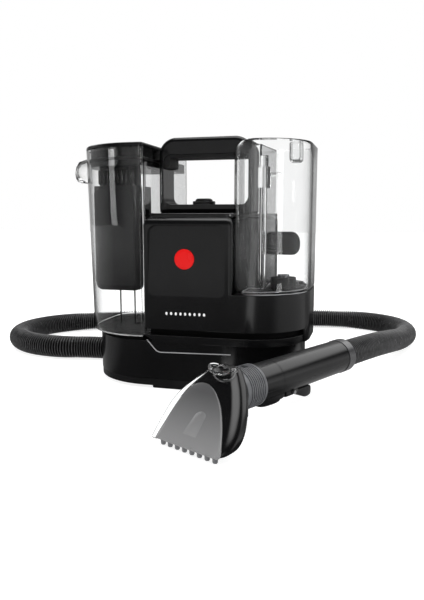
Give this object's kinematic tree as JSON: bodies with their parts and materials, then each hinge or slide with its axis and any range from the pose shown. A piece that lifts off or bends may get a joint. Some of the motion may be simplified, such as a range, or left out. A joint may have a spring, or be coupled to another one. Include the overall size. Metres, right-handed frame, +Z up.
{
  "type": "spot extractor",
  "caption": "Portable spot extractor with two clear lift-off tanks, a carry handle, a corrugated suction hose and a fan-shaped hand tool.",
  "frame": {"origin": "on the floor under the middle of the machine's base", "axes": "+X to the machine's right, +Y to its back, +Z up; the fascia faces -Y"},
  "size_m": [0.599, 0.6317, 0.28],
  "materials": {
    "black_gloss": "gloss",
    "black_matte": "matte",
    "grey_matte": "satin",
    "rubber_black": "matte",
    "hose_black": "satin",
    "clear_plastic": "clear gloss",
    "smoke_clear": "smoked gloss",
    "red_gloss": "gloss",
    "steel": "brushed",
    "copper_steel": "laminated",
    "board_green": "matte"
  },
  "bodies": {
    "root": {"foot_frame": "black_matte", "rubber_feet": "rubber_black", "base_tray": "black_matte", "lower_housing": "black_gloss", "base_screws": "steel", "hose_port": "black_matte", "cord_gland": "rubber_black", "dirty_tank_seat": "black_gloss", "chin_band": "black_gloss", "chassis_plate": "black_matte", "front_cover": "black_gloss", "rear_cover": "black_gloss", "badge": "red_gloss", "deck_cover": "black_gloss", "exhaust_grille": "black_matte", "cord_wrap": "black_gloss", "handle_front": "black_gloss", "handle_rear": "black_gloss", "grip_pad": "rubber_black", "button_bezel": "black_matte", "power_switch": "black_matte", "motor_can": "steel", "motor_cushion": "rubber_black", "fan_housing": "black_matte", "pump_bracket": "steel", "pump_body": "grey_matte", "tank_receiver": "black_matte", "receiver_seal": "rubber_black", "air_duct": "black_matte", "control_board": "board_green", "hose": "hose_black"},
    "button": {"power_button": "black_gloss"},
    "fan": {"motor_armature": "copper_steel", "fan_impeller": "grey_matte"},
    "dirty_tank": {"dirty_tank": "clear_plastic"},
    "lid": {"tank_lid": "black_gloss", "lid_gasket": "rubber_black", "separator": "black_matte"},
    "float": {"float_ball": "grey_matte"},
    "clean_tank": {"clean_tank": "clear_plastic", "tank_cap": "black_matte", "vent_tube": "clear_plastic", "vent_valve": "clear_plastic"},
    "poppet": {"valve_poppet": "grey_matte"},
    "wand": {"wand_tail_cuff": "black_matte", "wand_upper_shell": "black_gloss", "wand_nose_shell": "black_gloss", "wand_lower_shell": "black_matte", "wand_inner_tube": "grey_matte", "trigger_pin": "steel", "spray_valve": "grey_matte", "tool_collar": "grey_matte", "spray_nozzle": "grey_matte"},
    "trigger": {"trigger": "black_matte"},
    "tool": {"tool_body": "black_gloss", "tool_window": "smoke_clear", "brush_strip": "grey_matte"}
  },
  "joints": [
    {"name": "power_press", "type": "slide", "parent": "root", "child": "button", "axis": [0, 0, -1], "range_m": [0, 0.0025], "stiffness_N_per_m": 400, "springref_m": -0.002},
    {"name": "dirty_tank_lift", "type": "slide", "parent": "root", "child": "dirty_tank", "axis": [0, 0, 1], "range_m": [0, 0.24]},
    {"name": "lid_lift", "type": "slide", "parent": "dirty_tank", "child": "lid", "axis": [0, 0, 1], "range_m": [0, 0.18]},
    {"name": "float_rise", "type": "slide", "parent": "lid", "child": "float", "axis": [0, 0, 1], "range_m": [0, 0.03]},
    {"name": "clean_tank_lift", "type": "slide", "parent": "root", "child": "clean_tank", "axis": [0, 0, 1], "range_m": [0, 0.18]},
    {"name": "valve_open", "type": "slide", "parent": "clean_tank", "child": "poppet", "axis": [0, 0, 1], "range_m": [0, 0.003], "stiffness_N_per_m": 300, "springref_m": -0.002},
    {"name": "fan_spin", "type": "hinge", "parent": "root", "child": "fan", "pos_m": [0.015, 0.03, 0.11], "axis": [0, 0, 1], "continuous": true},
    {"name": "wand_lift", "type": "slide", "parent": "root", "child": "wand", "axis": [0, 0, 1], "range_m": [0, 0.12]},
    {"name": "trigger_squeeze", "type": "hinge", "parent": "wand", "child": "trigger", "pos_m": [0.1203, -0.12588, 0.02], "axis": [0.8878, -0.4602, 0], "range_deg": [0, 8], "stiffness_Nm_per_rad": 0.25, "springref_deg": -17.19},
    {"name": "tool_slide_off", "type": "slide", "parent": "wand", "child": "tool", "axis": [-0.4602, -0.8878, 0], "range_m": [0, 0.05]}
  ]
}
